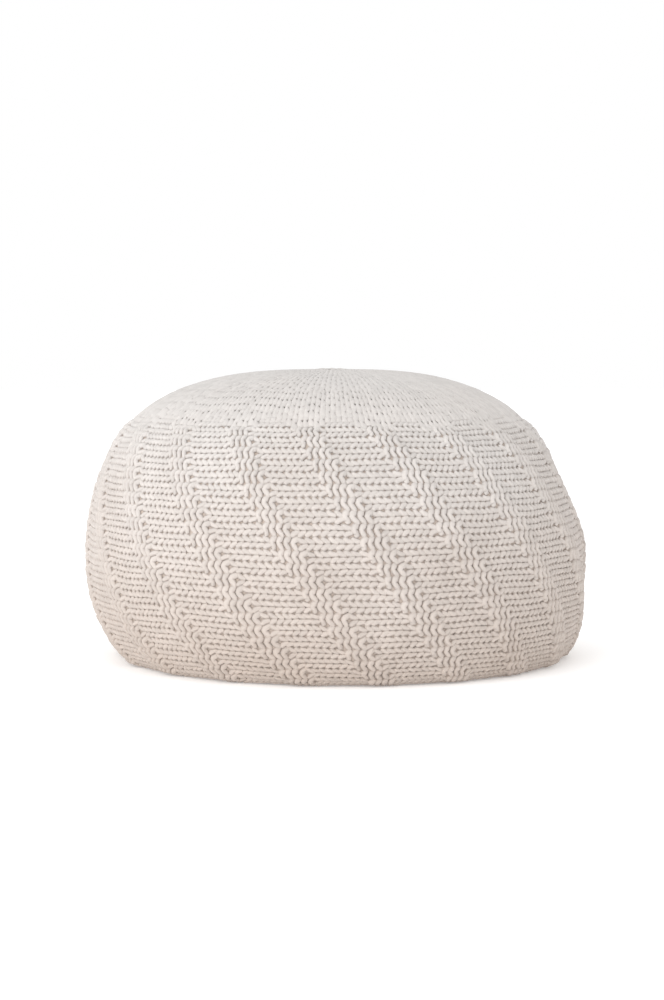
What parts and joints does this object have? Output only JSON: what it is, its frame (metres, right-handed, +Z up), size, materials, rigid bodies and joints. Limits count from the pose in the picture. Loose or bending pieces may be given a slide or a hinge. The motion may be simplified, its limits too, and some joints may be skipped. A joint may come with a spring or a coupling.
{
  "type": "knitted floor pouf",
  "caption": "Round filled floor pouf in a cream cotton knit, with spiral knit bands round its sides, a plain crown drawn up in the middle and a flat foot.",
  "frame": {"origin": "on the floor, under the middle of the cover's box", "axes": "+Z up, from the flat foot to the crown; the pictured front looks along -Y"},
  "size_m": [0.4984, 0.4988, 0.2887],
  "materials": {
    "cotton_knit": "matt cream cotton yarn, knitted",
    "closing_yarn": "matt cream cotton yarn, drawn up and fastened off"
  },
  "bodies": {
    "root": {"cover": "cotton_knit", "closing": "closing_yarn"}
  },
  "joints": []
}
